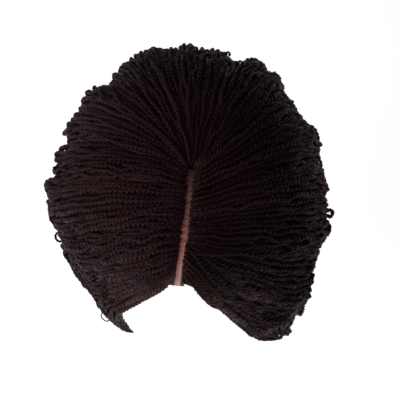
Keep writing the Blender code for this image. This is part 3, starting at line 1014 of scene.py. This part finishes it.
@dataclass(frozen=True)
class Wiring:
    """Adds nodes to a finish and joins them."""

    tree: bpy.types.NodeTree

    def fill(self, node: bpy.types.Node, inputs: dict[str | int, object]) -> None:
        """Fills a node's inputs.

        Args:
            node: The node.
            inputs: For each input its value, or the output that it is joined to.
        """
        for name, value in inputs.items():
            if isinstance(value, bpy.types.NodeSocket):
                self.tree.links.new(value, node.inputs[name])
            else:
                node.inputs[name].default_value = value

    def node(self, kind: str, inputs: dict[str | int, object], **settings: str) -> bpy.types.Node:
        """Adds a node.

        Args:
            kind: The end of its type's name.
            inputs: For each input its value, or the output that it is joined to.
            settings: Its own settings, made first because they decide which inputs it has.

        Returns:
            The node.
        """
        made = self.tree.nodes.new(f"ShaderNode{kind}")
        for name, value in settings.items():
            setattr(made, name, value)
        self.fill(made, inputs)
        return made

    def mixed(
        self,
        share: bpy.types.NodeSocket,
        first: Colour | bpy.types.NodeSocket,
        second: Colour | bpy.types.NodeSocket,
        blend: str = "MIX",
    ) -> bpy.types.NodeSocket:
        """Mixes two colours.

        Args:
            share: How much of the second there is.
            first: A colour.
            second: Another colour.
            blend: How they mix.

        Returns:
            The mixed colour.
        """
        a, b = (one if isinstance(one, bpy.types.NodeSocket) else (*one, 1.0) for one in (first, second))
        inputs = {"Factor": share, "A": a, "B": b}
        return self.node("Mix", inputs, data_type="RGBA", blend_type=blend).outputs["Result"]

    def ramp(
        self,
        value: bpy.types.NodeSocket,
        low: float,
        high: float,
        to: tuple[float, float] = (0.0, 1.0),
        soft: bool = False,
    ) -> bpy.types.NodeSocket:
        """Changes a value's range.

        Args:
            value: The value.
            low: Where the range starts.
            high: Where it ends.
            to: What these two become.
            soft: Whether the ramp is soft at both ends.

        Returns:
            The changed value.
        """
        inputs = {"Value": value, "From Min": low, "From Max": high, "To Min": to[0], "To Max": to[1]}
        kind = "SMOOTHSTEP" if soft else "LINEAR"
        return self.node("MapRange", inputs, interpolation_type=kind).outputs["Result"]

    def reckon(self, operation: str, *values: float | bpy.types.NodeSocket) -> bpy.types.NodeSocket:
        """Reckons with numbers."""
        return self.node("Math", dict(enumerate(values)), operation=operation).outputs["Value"]

    def attribute(self, name: str) -> bpy.types.NodeSocket:
        """Reads a number that the mesh holds for each of its points."""
        return self.node("Attribute", {}, attribute_name=name).outputs["Fac"]

    def relief(self, height: bpy.types.NodeSocket, strength: float, distance: float) -> bpy.types.NodeSocket:
        """Makes a surface's fine relief of a height, and gives the surface's directions."""
        inputs = {"Height": height, "Strength": strength, "Distance": distance}
        return self.node("Bump", inputs).outputs["Normal"]


@dataclass(frozen=True)
class TwistFinish:
    """Dark synthetic fibre wound into ropes, its colour lightened and darkened by the painted light and shade
    that the mesh holds.
    """

    dark: Colour = (0.0035, 0.0015, 0.0016)
    light: Colour = (0.024, 0.0099, 0.0112)
    # colour of the painted warm highlight along the hairline
    painted_hairline_highlight: Colour = (0.105, 0.055, 0.032)
    fibre_scale: tuple[float, float, float] = (26.0, 1.6, 1.0)
    fibre_detail: float = 3.0
    streak_share: float = 0.5
    roughness: tuple[float, float] = (0.38, 0.58)
    fibre_bump: float = 0.35
    fibre_height: float = 0.25 * MM
    gloss: float = 0.11
    gloss_tint: Colour = (1.0, 0.66, 0.72)
    fuzz: float = 0.035
    fuzz_roughness: float = 0.4
    fuzz_tint: Colour = (1.0, 0.5, 0.54)

    def material(self) -> bpy.types.Material:
        """Builds the finish.

        Returns:
            The material.
        """
        material, shader = new_material("braid_fibre_twisted")
        wiring = Wiring(material.node_tree)
        uv = wiring.node("UVMap", {}, uv_map="UVMap").outputs["UV"]
        scaled = wiring.node("Mapping", {"Vector": uv, "Scale": self.fibre_scale}).outputs["Vector"]
        noise = wiring.node("TexNoise", {"Vector": scaled, "Scale": 1.0, "Detail": self.fibre_detail})
        fibres = noise.outputs["Fac"]
        # the mesh's value holds painted light and shade along with each twist's own lightness, and sets how
        # far the colour goes from dark to light
        tone_and_painted_light = wiring.reckon("MULTIPLY_ADD", fibres, self.streak_share, wiring.attribute("tone_and_painted_light"))
        # the painted warm highlight along the hairline, laid over the fibre colour
        highlight_share = wiring.reckon("MULTIPLY", wiring.attribute("painted_hairline_highlight"), fibres)
        colour = wiring.mixed(highlight_share, wiring.mixed(tone_and_painted_light, self.dark, self.light), self.painted_hairline_highlight)
        rough = wiring.ramp(fibres, 0.0, 1.0, self.roughness)
        normal = wiring.relief(fibres, self.fibre_bump, self.fibre_height)
        wiring.fill(shader, {"Base Color": colour, "Roughness": rough, "Normal": normal})
        shader.inputs["Specular IOR Level"].default_value = self.gloss
        shader.inputs["Specular Tint"].default_value = (*self.gloss_tint, 1.0)
        shader.inputs["Sheen Weight"].default_value = self.fuzz
        shader.inputs["Sheen Roughness"].default_value = self.fuzz_roughness
        shader.inputs["Sheen Tint"].default_value = (*self.fuzz_tint, 1.0)
        return material


@dataclass(frozen=True)
class LaceFinish:
    """Fine brown-pink lace, with painted shade that darkens it towards the back of the part and at its sides
    under the roots.

    Attributes:
        painted_front_shade_fade: Between which Y the front colour goes over into the middle one.
        painted_back_shade_fade: The same for the middle and the back colour.
        painted_end_shade_fade: The same for the back and the end colour.
        painted_side_shade_fade: Between which distances from the part's middle the side colour, a painted
            shadow of the roots, comes in.
    """

    # the colours from front to back darken as painted shade of the hair over the part; side is a painted
    # shadow of the roots along the strip's edges
    front: Colour = (0.80, 0.44, 0.40)
    middle: Colour = (0.43, 0.16, 0.125)
    back: Colour = (0.066, 0.024, 0.021)
    end: Colour = (0.014, 0.006, 0.006)
    side: Colour = (0.060, 0.018, 0.010)
    painted_front_shade_fade: tuple[float, float] = (-82 * MM, -56 * MM)
    painted_back_shade_fade: tuple[float, float] = (-62 * MM, 0.0)
    painted_end_shade_fade: tuple[float, float] = (-12 * MM, 0.0)
    painted_side_shade_fade: tuple[float, float] = (1.5 * MM, 3.4 * MM)
    mottle: Colour = (0.72, 0.62, 0.58)
    mottle_scale: float = 160.0
    net_scale: float = 1400.0
    net_bump: float = 0.5
    net_height: float = 0.2 * MM
    roughness: float = 0.6

    def material(self) -> bpy.types.Material:
        """Builds the finish.

        Returns:
            The material.
        """
        material, shader = new_material("parting_lace_net")
        wiring = Wiring(material.node_tree)
        place = wiring.node("TexCoord", {}).outputs["Object"]
        split = wiring.node("SeparateXYZ", {"Vector": place}).outputs
        # painted shade: darker towards the back, and at the sides under the roots
        colour = wiring.mixed(wiring.ramp(split["Y"], *self.painted_front_shade_fade), self.front, self.middle)
        colour = wiring.mixed(wiring.ramp(split["Y"], *self.painted_back_shade_fade), colour, self.back)
        colour = wiring.mixed(wiring.ramp(split["Y"], *self.painted_end_shade_fade), colour, self.end)
        lean = wiring.ramp(
            split["Y"], -PART_BEND_FROM, -PART_BEND_FROM - PART_BEND_OVER, (0.0, -PART_BEND), soft=True
        )
        from_middle = wiring.reckon("ABSOLUTE", wiring.reckon("SUBTRACT", split["X"], lean))
        colour = wiring.mixed(wiring.ramp(from_middle, *self.painted_side_shade_fade, soft=True), colour, self.side)
        mottle = wiring.node("TexNoise", {"Vector": place, "Scale": self.mottle_scale})
        colour = wiring.mixed(mottle.outputs["Fac"], colour, self.mottle, "MULTIPLY")
        net = wiring.node("TexVoronoi", {"Vector": place, "Scale": self.net_scale})
        normal = wiring.relief(net.outputs["Distance"], self.net_bump, self.net_height)
        wiring.fill(shader, {"Base Color": colour, "Normal": normal})
        shader.inputs["Roughness"].default_value = self.roughness
        return material


@dataclass(frozen=True)
class NetFinish:
    """Black stretch net."""

    colour: Colour = (0.007, 0.0033, 0.0037)
    thread: Colour = (0.014, 0.0075, 0.0083)
    thread_edge: tuple[float, float] = (0.05, 0.16)
    thread_bump: float = 0.6
    thread_height: float = 0.4 * MM
    roughness: float = 0.8
    gloss: float = 0.15
    cell: float = 900.0

    def material(self, name: str) -> bpy.types.Material:
        """Builds the finish.

        Args:
            name: The material's name.

        Returns:
            The material.
        """
        material, shader = new_material(name)
        wiring = Wiring(material.node_tree)
        place = wiring.node("TexCoord", {}).outputs["Object"]
        inputs = {"Vector": place, "Scale": self.cell}
        cells = wiring.node("TexVoronoi", inputs, feature="DISTANCE_TO_EDGE")
        threads = wiring.ramp(cells.outputs["Distance"], *self.thread_edge, (1.0, 0.0))
        colour = wiring.mixed(threads, self.colour, self.thread)
        normal = wiring.relief(threads, self.thread_bump, self.thread_height)
        wiring.fill(shader, {"Base Color": colour, "Normal": normal})
        shader.inputs["Roughness"].default_value = self.roughness
        shader.inputs["Specular IOR Level"].default_value = self.gloss
        return material


@dataclass
class BraidWall:
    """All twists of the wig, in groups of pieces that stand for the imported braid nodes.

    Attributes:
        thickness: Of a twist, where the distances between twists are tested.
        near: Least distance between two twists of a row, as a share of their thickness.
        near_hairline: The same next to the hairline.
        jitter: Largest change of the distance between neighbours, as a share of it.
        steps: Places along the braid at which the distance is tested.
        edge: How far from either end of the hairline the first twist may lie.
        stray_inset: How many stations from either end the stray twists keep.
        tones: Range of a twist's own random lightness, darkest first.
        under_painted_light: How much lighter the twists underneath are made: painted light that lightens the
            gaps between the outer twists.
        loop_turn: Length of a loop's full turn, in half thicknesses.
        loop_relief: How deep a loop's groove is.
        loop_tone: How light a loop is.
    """

    thickness: float = 5.1 * MM
    near: float = 0.69
    near_hairline: float = 0.5
    jitter: float = 0.2
    steps: int = 60
    edge: float = 1.0 * MM
    stray_inset: float = 0.9
    tones: tuple[float, float] = (-0.08, 0.56)
    under_painted_light: float = 0.2
    loop_turn: float = 4.5
    loop_relief: float = 0.4
    loop_tone: float = 0.5

    def ring(self) -> tuple[np.ndarray, np.ndarray]:
        """Measures the widest ring: stations, and its length up to each."""
        t = np.linspace(0, LAST_STATION, 900)
        return t, lengths_along(FORM.outer(t, np.ones_like(t)))

    @staticmethod
    def spread_order(count: int) -> list[int]:
        """Orders a row's twists so that each one lies as far as can be from the ones before it."""
        bits = max(count - 1, 1).bit_length()
        return sorted(range(count), key=lambda n: int(format(n, f"0{bits}b")[::-1], 2))

    def starts(self, t: np.ndarray, plan: RowPlan) -> np.ndarray:
        """Finds where each twist of a row has room to come to the surface.

        Args:
            t: The twists' stations.
            plan: The row.

        Returns:
            How far along the braid each one starts.
        """
        u = np.linspace(0, 1, self.steps)
        depth = np.full_like(u, plan.depth)
        places = np.array([FORM.between(combed(one, u), u, depth) for one in t])
        inside = smooth_step((np.minimum(t, LAST_STATION - t) - 0.8) / 0.9)
        least = self.thickness * (self.near_hairline + (self.near - self.near_hairline) * inside)
        first = np.full(len(t), self.steps)
        placed: list[int] = []
        for number in self.spread_order(len(t)):
            begin = int(plan.first * self.steps)
            for other in (
                max((k for k in placed if k < number), default=None),
                min((k for k in placed if k > number), default=None),
            ):
                if other is None:
                    continue
                apart = np.linalg.norm(places[number] - places[other], axis=1)
                tight = (apart < least[number]) & (np.arange(self.steps) >= first[other])
                if tight.any():
                    begin = max(begin, int(np.flatnonzero(tight)[-1]) + 1)
            first[number] = begin
            placed.append(number)
        return first / self.steps

    def row_twists(self, plan: RowPlan, rng: np.random.Generator) -> list[Twist]:
        """Lays out one row.

        Args:
            plan: The row.
            rng: Source of random numbers.

        Returns:
            Its twists.
        """
        stations, lengths = self.ring()
        room = lengths[-1] - 2 * self.edge
        count = int(room / plan.pitch)
        widths = 1 + rng.uniform(-self.jitter, self.jitter, count)
        inset = plan.shift * plan.pitch
        places = (np.cumsum(widths) - widths[0]) / (widths.sum() - widths[0])
        at = self.edge + inset + (room - 2 * inset) * places
        t = np.interp(at, lengths, stations)
        starts = self.starts(t, plan)
        lift_phase, long_phase = rng.uniform(0, FULL_TURN, 2)
        twists = []
        for station, start in zip(t, starts):
            ring = float(np.interp(station, stations, lengths))
            where = ring / (27 * MM)
            clump = (
                0.6 * math.sin(where * 2.1 + lift_phase) + 0.4 * math.sin(where * 5.3 + 1.3 * lift_phase),
                0.6 * math.sin(where * 1.7 + long_phase) + 0.4 * math.sin(where * 4.1 + 2.1 * long_phase),
            )
            child = np.random.default_rng(rng.integers(1 << 31))
            swell = float(np.interp(station, *zip(*SWELLS))) * MM
            slant = (0.0, 0.0)
            if plan.row is Row.STRAY:
                if not self.stray_inset < station < LAST_STATION - self.stray_inset:
                    continue
                slant = (rng.uniform(-0.5, 0.5), rng.uniform(-0.35, 0.35))
            twists.append(Twist(float(station), float(start), plan, child, clump, swell, ring, slant))
        return twists

    def build(self, material: bpy.types.Material) -> list[bpy.types.Object]:
        """Makes the pieces.

        Args:
            material: The twists' finish.

        Returns:
            The pieces: for each group its outer twists, and the ones under them.
        """
        rng = np.random.default_rng(SEED)
        twists = [twist for plan in ROWS for twist in self.row_twists(plan, rng)]
        pieces = []
        over = (Row.STRAY, Row.OUTER)
        for group, low, high in GROUPS:
            for label, outer in (("twists", True), ("under_twists", False)):
                bundle = Bundle()
                for twist in twists:
                    if (twist.plan.row in over) is outer and low <= twist.t < high + (high == LAST_STATION):
                        # the twists underneath are painted lighter, which stands in for light reaching into
                        # the gaps
                        tone_and_painted_light = twist.rng.uniform(*self.tones) + (0.0 if outer else self.under_painted_light)
                        bundle.add(twist.mesh(), tone_and_painted_light, twist.painted_hairline_highlight())
                for loop in LOOPS if outer else ():
                    if low <= loop.station < high:
                        points, normal = loop.centre_line()
                        size = np.full(len(points), loop.radius * MM)
                        section = FINE_SECTION if loop.radius > 1 else THIN_SECTION
                        turn, relief = size * self.loop_turn, np.full(len(points), self.loop_relief)
                        made = wound(points, normal, size, turn, relief, section, rng)
                        bundle.add(made, self.loop_tone)
                piece = bundle.piece(f"{label}_{group}")
                pieces.append(dressed(piece, material, (f"braids_{group}",)))
        return pieces


def deselect_all() -> None:
    """Leaves nothing selected."""
    for thing in bpy.context.selected_objects:
        thing.select_set(False)
    bpy.context.view_layer.objects.active = None


def apply_modifiers(piece: bpy.types.Object) -> None:
    """Applies all modifiers of a piece in their order.

    Args:
        piece: The piece.
    """
    deselect_all()
    piece.select_set(True)
    bpy.context.view_layer.objects.active = piece
    for modifier in list(piece.modifiers):
        bpy.ops.object.modifier_apply(modifier=modifier.name)


def thickened(piece: bpy.types.Object, wall: float) -> bpy.types.Object:
    """Gives a sheet its thickness and its smooth shading.

    Args:
        piece: The sheet.
        wall: Its thickness.

    Returns:
        The same piece.
    """
    solid = piece.modifiers.new("thickness", "SOLIDIFY")
    solid.thickness = wall
    solid.offset = 1.0
    apply_modifiers(piece)
    bpy.ops.object.shade_smooth_by_angle(angle=SMOOTH_BELOW)
    return piece


@dataclass
class CrossingHairs:
    """A few fine hairs that lie across the part."""

    radius: float = 0.28 * MM
    # y at the left end, y at the right end, height over the lace, all in mm
    runs: tuple[tuple[float, float, float], ...] = (
        (-36.0, -40.5, 0.9), (-41.5, -42.5, 1.2), (-50.0, -44.5, 0.9), (-27.0, -30.0, 1.0),
        (-61.0, -56.5, 1.0),
    )

    def build(self, material: bpy.types.Material) -> bpy.types.Object:
        """Makes the piece.

        Args:
            material: The hairs' finish.

        Returns:
            The piece.
        """
        bundle, rng = Bundle(), np.random.default_rng(SEED)
        for left, right, height in self.runs:
            along = np.linspace(0, 1, 14)
            y = (left + (right - left) * along) * MM
            x = (along - 0.5) * 11 * MM + np.array([part_bend(one) for one in y])
            off = FORM.cap_wall + 0.9 * MM + height * MM * np.sin(math.pi * along)
            points = np.column_stack([x, y, FORM.cap_height(x, y, off)])
            size = np.full(len(points), self.radius)
            up = np.broadcast_to(np.array([0.0, 0.0, 1.0]), points.shape)
            bundle.add(wound(points, up, size, size * 20, size * 0, THIN_SECTION, rng), 0.3)
        return dressed(bundle.piece("crossing_hairs"), material, ())


@dataclass
class PartingLace:
    """The lace strip that shows between the two sides of the part."""

    half_width: float = 4.0 * MM
    end_half_width: float = 3.2 * MM
    thickness: float = 0.5 * MM
    above_cap: float = 0.35 * MM
    front_y: float = -87.7 * MM
    back_y: float = 0.5 * MM
    rows: int = 60
    narrows_from: float = 0.85
    flare: float = 2.5 * MM
    flare_length: float = 0.04

    def build(self) -> bpy.types.Object:
        """Models the strip.

        Returns:
            The piece.
        """
        deselect_all()
        bpy.ops.mesh.primitive_grid_add(x_subdivisions=6, y_subdivisions=self.rows, size=1.0)
        piece = bpy.context.object
        piece.name = piece.data.name = "lace_strip"
        low = FORM.cap_wall + self.above_cap
        for vertex in piece.data.vertices:
            along = vertex.co.y + 0.5
            y = self.front_y + (self.back_y - self.front_y) * along
            narrow = eased((along - self.narrows_from) / (1 - self.narrows_from))
            half = self.half_width + (self.end_half_width - self.half_width) * narrow
            half += self.flare * max(1 - along / self.flare_length, 0.0) ** 1.5
            x = vertex.co.x * 2 * half
            y += 0.5 * x * x / FORM.cap_half_depth * 1.6
            ridge = 0.12 * MM * math.sin(along * 61) * (1 - (x / half) ** 2)
            x += part_bend(y)
            vertex.co = (x, y, float(FORM.cap_height(x, y, low)) + ridge)
        return thickened(piece, self.thickness)


@dataclass
class NetCap:
    """The stretch net cap and its edge band."""

    segments: int = 96
    rings: int = 48
    wall: float = 1.0 * MM
    band_height: float = 7 * MM
    band_thickness: float = 1.3 * MM

    def edge_angle(self, azimuth: float) -> float:
        """Finds how far down from the crown the edge lies, in radians, at some degrees from the front."""
        front = 3.5 * MM * (1 - eased(abs(azimuth) / 25))
        return math.acos((cap_edge_height(azimuth) + front + FORM.cap_half_height) / FORM.cap_half_height)

    def on_cap(self, azimuth: float, down: float, off: float) -> tuple[float, float, float]:
        """Finds a point of the cap.

        Args:
            azimuth: Degrees from the front.
            down: Radians from the crown.
            off: Distance outwards from the cap's inside.

        Returns:
            The point.
        """
        way = math.radians(azimuth)
        return (
            (FORM.cap_half_width + off) * math.sin(down) * math.sin(way),
            -(FORM.cap_half_depth + off) * math.sin(down) * math.cos(way),
            -FORM.cap_half_height + (FORM.cap_half_height + off) * math.cos(down),
        )

    def build_net(self) -> bpy.types.Object:
        """Models the net shell.

        Returns:
            The piece.
        """
        deselect_all()
        bpy.ops.mesh.primitive_uv_sphere_add(segments=self.segments, ring_count=self.rings, radius=1.0)
        piece = bpy.context.object
        piece.name = piece.data.name = "cap_net_shell"
        bpy.ops.object.mode_set(mode="EDIT")
        bpy.ops.mesh.select_all(action="DESELECT")
        bpy.ops.object.mode_set(mode="OBJECT")
        for vertex in piece.data.vertices:
            vertex.select = vertex.co.z < -1e-4
        bpy.ops.object.mode_set(mode="EDIT")
        bpy.ops.mesh.delete(type="VERT")
        bpy.ops.object.mode_set(mode="OBJECT")
        for vertex in piece.data.vertices:
            share = math.acos(max(min(vertex.co.z, 1.0), -1.0)) / (math.pi / 2)
            azimuth = math.degrees(math.atan2(vertex.co.x, -vertex.co.y))
            vertex.co = self.on_cap(azimuth, self.edge_angle(azimuth) * share, 0.2 * MM)
        return thickened(piece, self.wall)

    def build_band(self) -> bpy.types.Object:
        """Models the soft band sewn along the edge.

        Returns:
            The piece.
        """
        deselect_all()
        bpy.ops.mesh.primitive_cylinder_add(
            vertices=self.segments * 2, radius=1.0, depth=1.0, end_fill_type="NOTHING"
        )
        piece = bpy.context.object
        piece.name = piece.data.name = "cap_edge_band"
        bpy.ops.object.mode_set(mode="EDIT")
        bpy.ops.mesh.select_all(action="SELECT")
        bpy.ops.mesh.subdivide(number_cuts=1)
        bpy.ops.object.mode_set(mode="OBJECT")
        for vertex in piece.data.vertices:
            azimuth = math.degrees(math.atan2(vertex.co.x, -vertex.co.y))
            share = vertex.co.z + 0.5
            down = self.edge_angle(azimuth) - share * self.band_height / FORM.cap_half_height
            crown = -0.9 * MM - 0.35 * MM * math.sin(share * math.pi)
            vertex.co = self.on_cap(azimuth, down, crown)
        return thickened(piece, self.band_thickness)


@dataclass
class Studio:
    """Plain pale floor, soft lights and the camera."""

    floor_z: float = -0.62
    floor_half: float = 14.0
    target: tuple[float, float, float] = (0.0098, 0.0092, -0.090)
    elevation: float = math.radians(69)
    roll: float = math.radians(6.0)
    distance: float = 1.0
    pixels: float = 400.0
    focal_pixels: float = 1065.0
    sensor: float = 36.0
    air_tint: Colour = (1.0, 0.84, 0.86)
    air_light: float = 0.10
    floor_glow: float = 0.72

    def build_camera(self) -> bpy.types.Object:
        """Places the camera as in the photograph.

        Returns:
            The camera.
        """
        back = Vector((0.0, -math.cos(self.elevation), math.sin(self.elevation)))
        right = Vector((1.0, 0.0, 0.0))
        up = back.cross(right)
        turned_x = right * math.cos(self.roll) + up * math.sin(self.roll)
        turned_y = up * math.cos(self.roll) - right * math.sin(self.roll)
        place = Vector(self.target) + back * self.distance
        data = bpy.data.cameras.new("camera")
        data.sensor_width = self.sensor
        data.lens = self.sensor * self.focal_pixels / self.pixels
        camera = bpy.data.objects.new("camera", data)
        turn = Matrix((turned_x, turned_y, back)).transposed()
        camera.matrix_world = Matrix.Translation(place) @ turn.to_4x4()
        bpy.context.collection.objects.link(camera)
        bpy.context.scene.camera = camera
        return camera

    def build_floor(self) -> bpy.types.Object:
        """Models the pale floor.

        Returns:
            The staged floor.
        """
        deselect_all()
        bpy.ops.mesh.primitive_plane_add(size=2 * self.floor_half, location=(0.0, 0.0, self.floor_z))
        floor = bpy.context.object
        floor.name = "floor"
        material, shader = new_material("pale_floor")
        shader.inputs["Base Color"].default_value = (0.9, 0.9, 0.9, 1.0)
        shader.inputs["Roughness"].default_value = 0.9
        shader.inputs["Emission Color"].default_value = (1.0, 1.0, 1.0, 1.0)
        shader.inputs["Emission Strength"].default_value = self.floor_glow
        floor.data.materials.append(material)
        return floor

    def add_light(
        self, name: str, place: tuple[float, float, float], size: float, power: float, colour: Colour
    ) -> None:
        """Adds a soft light that faces the wig.

        Args:
            name: The light's name.
            place: Where it stands.
            size: Its width.
            power: Its power in watts.
            colour: Its colour.
        """
        data = bpy.data.lights.new(name, "AREA")
        data.shape = "DISK"
        data.size = size
        data.energy = power
        data.color = colour
        light = bpy.data.objects.new(name, data)
        light.location = place
        aim = Vector(self.target) - Vector(place)
        light.rotation_euler = aim.to_track_quat("-Z", "Y").to_euler()
        bpy.context.collection.objects.link(light)

    def build_lights(self) -> None:
        """Adds the lights and the pale surroundings."""
        self.add_light("key_left", (-1.25, -0.6, 0.75), 0.9, 14.2, (1.0, 0.92, 0.94))
        self.add_light("soft_top", (-0.1, -0.3, 1.5), 1.1, 4.6, (1.0, 0.9, 0.92))
        self.add_light("rim_right", (1.3, -0.75, 0.15), 0.8, 2.4, (1.0, 0.94, 0.95))
        world = bpy.data.worlds.new("studio_air")
        world.use_nodes = True
        wiring = Wiring(world.node_tree)
        seen = wiring.node("LightPath", {}).outputs["Is Camera Ray"]
        colour = wiring.mixed(seen, self.air_tint, (1.0, 1.0, 1.0))
        strength = wiring.ramp(seen, 0.0, 1.0, (self.air_light, 1.0))
        wiring.fill(world.node_tree.nodes["Background"], {"Color": colour, "Strength": strength})
        bpy.context.scene.world = world
        bpy.context.scene.view_settings.view_transform = "Standard"


def main() -> None:
    """Builds the studio and every piece of the wig."""
    logging.basicConfig(level=logging.INFO, format="%(name)s: %(message)s")
    deselect_all()
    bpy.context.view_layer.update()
    studio = Studio()
    studio.build_camera()
    studio.build_floor()
    studio.build_lights()
    fibre = TwistFinish().material()
    BraidWall().build(fibre)
    CrossingHairs().build(fibre)
    dressed(PartingLace().build(), LaceFinish().material(), ("parting_lace",))
    cap = NetCap()
    dressed(cap.build_net(), NetFinish().material("cap_net_black"), ("cap",))
    dressed(cap.build_band(), NetFinish(cell=2600.0).material("cap_band_black"), ("cap",))
    deselect_all()


if __name__ == "__main__":
    main()
